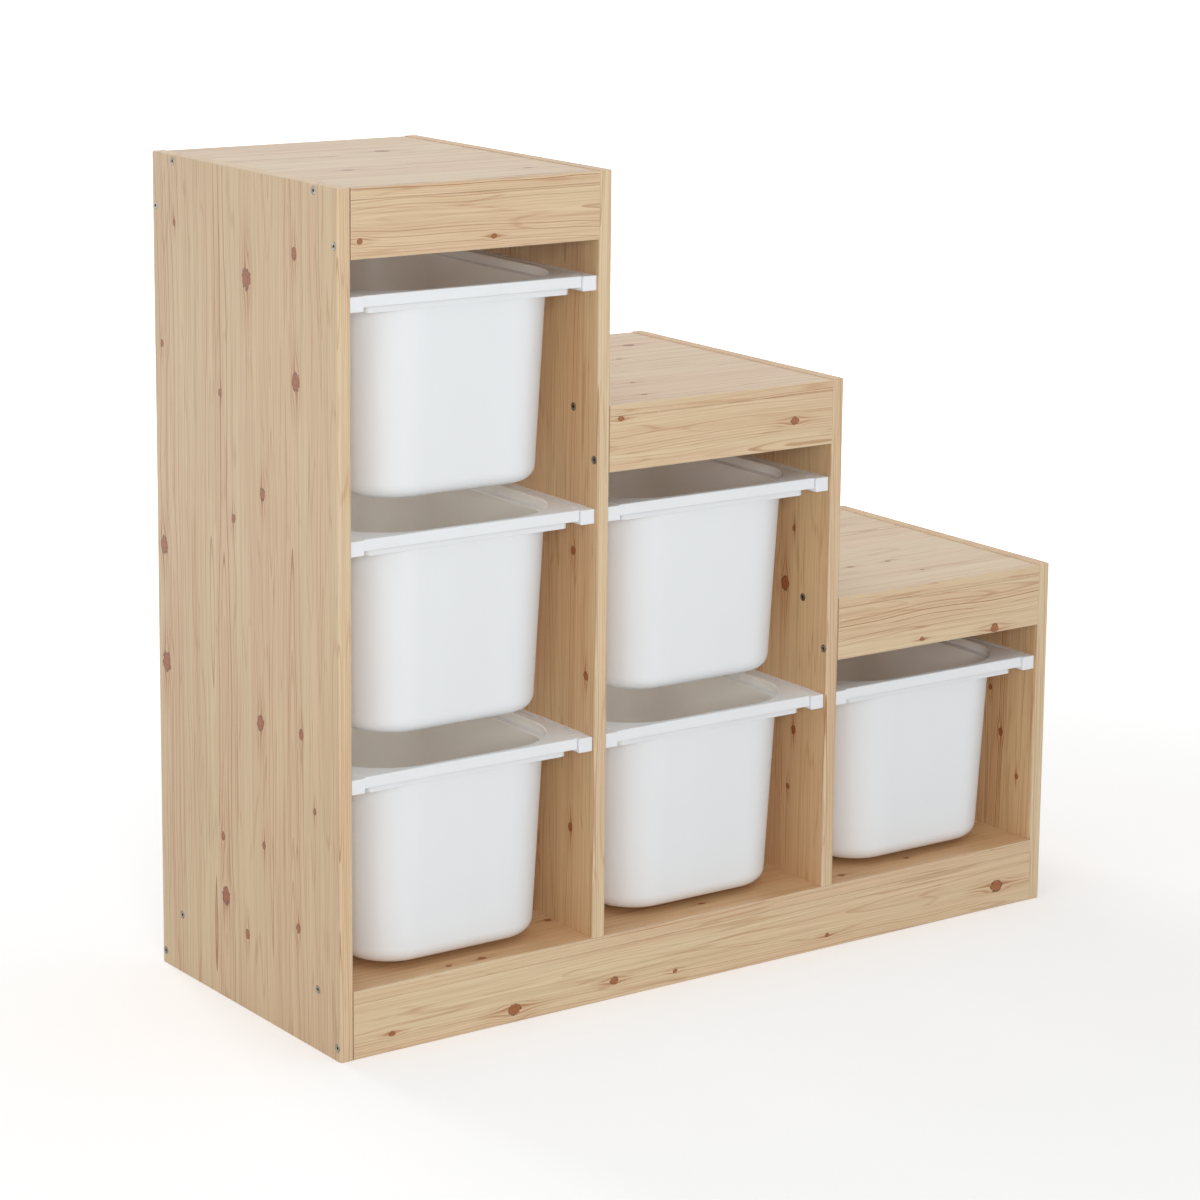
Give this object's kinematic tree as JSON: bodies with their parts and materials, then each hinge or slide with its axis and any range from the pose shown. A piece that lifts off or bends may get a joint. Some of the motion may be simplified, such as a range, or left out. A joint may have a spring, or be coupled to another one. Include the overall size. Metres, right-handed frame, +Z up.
{
  "type": "toy storage organizer with bins",
  "caption": "Stair-stepped pine storage unit with white plastic bins that hang by their rims on rails and slide out to the front.",
  "frame": {"origin": "on the floor, in the middle of the width and of the depth", "axes": "+Z up, front towards -Y, the tall bay at -X and the low bay at +X"},
  "size_m": [0.94, 0.375, 0.885],
  "materials": {
    "pine": "fine-grained pine with knots, satin lacquer",
    "bin_plastic": "fine satin moulding",
    "rail_plastic": "satin moulding",
    "screw_steel": "zinc plated"
  },
  "bodies": {
    "frame": {"left_side_panel": "pine", "tall_upright": "pine", "middle_upright": "pine", "right_side_panel": "pine", "bottom_shelf": "pine", "front_plinth": "pine", "back_plinth": "pine", "tall_top_board": "pine", "tall_front_apron": "pine", "tall_back_apron": "pine", "middle_top_board": "pine", "middle_front_apron": "pine", "middle_back_apron": "pine", "low_top_board": "pine", "low_front_apron": "pine", "low_back_apron": "pine", "rail_1_left": "rail_plastic", "rail_1_right": "rail_plastic", "rail_2_left": "rail_plastic", "rail_2_right": "rail_plastic", "rail_3_left": "rail_plastic", "rail_3_right": "rail_plastic", "rail_4_left": "rail_plastic", "rail_4_right": "rail_plastic", "rail_5_left": "rail_plastic", "rail_5_right": "rail_plastic", "rail_6_left": "rail_plastic", "rail_6_right": "rail_plastic", "left_panel_screws": "screw_steel", "tall_upright_screws": "screw_steel", "middle_upright_screws": "screw_steel", "right_panel_screws": "screw_steel", "shelf_screws": "screw_steel", "tall_rail_screws": "screw_steel", "middle_rail_screws": "screw_steel", "low_rail_screws": "screw_steel"},
    "bin_1_body": {"bin_1": "bin_plastic", "bin_1_left_cap": "rail_plastic", "bin_1_right_cap": "rail_plastic"},
    "bin_2_body": {"bin_2": "bin_plastic", "bin_2_left_cap": "rail_plastic", "bin_2_right_cap": "rail_plastic"},
    "bin_3_body": {"bin_3": "bin_plastic", "bin_3_left_cap": "rail_plastic", "bin_3_right_cap": "rail_plastic"},
    "bin_4_body": {"bin_4": "bin_plastic", "bin_4_left_cap": "rail_plastic", "bin_4_right_cap": "rail_plastic"},
    "bin_5_body": {"bin_5": "bin_plastic", "bin_5_left_cap": "rail_plastic", "bin_5_right_cap": "rail_plastic"},
    "bin_6_body": {"bin_6": "bin_plastic", "bin_6_left_cap": "rail_plastic", "bin_6_right_cap": "rail_plastic"}
  },
  "joints": [
    {"name": "bin_1_slide", "type": "slide", "parent": "frame", "child": "bin_1_body", "axis": [0, -1, 0], "range_m": [0, 0.28]},
    {"name": "bin_2_slide", "type": "slide", "parent": "frame", "child": "bin_2_body", "axis": [0, -1, 0], "range_m": [0, 0.28]},
    {"name": "bin_3_slide", "type": "slide", "parent": "frame", "child": "bin_3_body", "axis": [0, -1, 0], "range_m": [0, 0.28]},
    {"name": "bin_4_slide", "type": "slide", "parent": "frame", "child": "bin_4_body", "axis": [0, -1, 0], "range_m": [0, 0.28]},
    {"name": "bin_5_slide", "type": "slide", "parent": "frame", "child": "bin_5_body", "axis": [0, -1, 0], "range_m": [0, 0.28]},
    {"name": "bin_6_slide", "type": "slide", "parent": "frame", "child": "bin_6_body", "axis": [0, -1, 0], "range_m": [0, 0.28]}
  ]
}
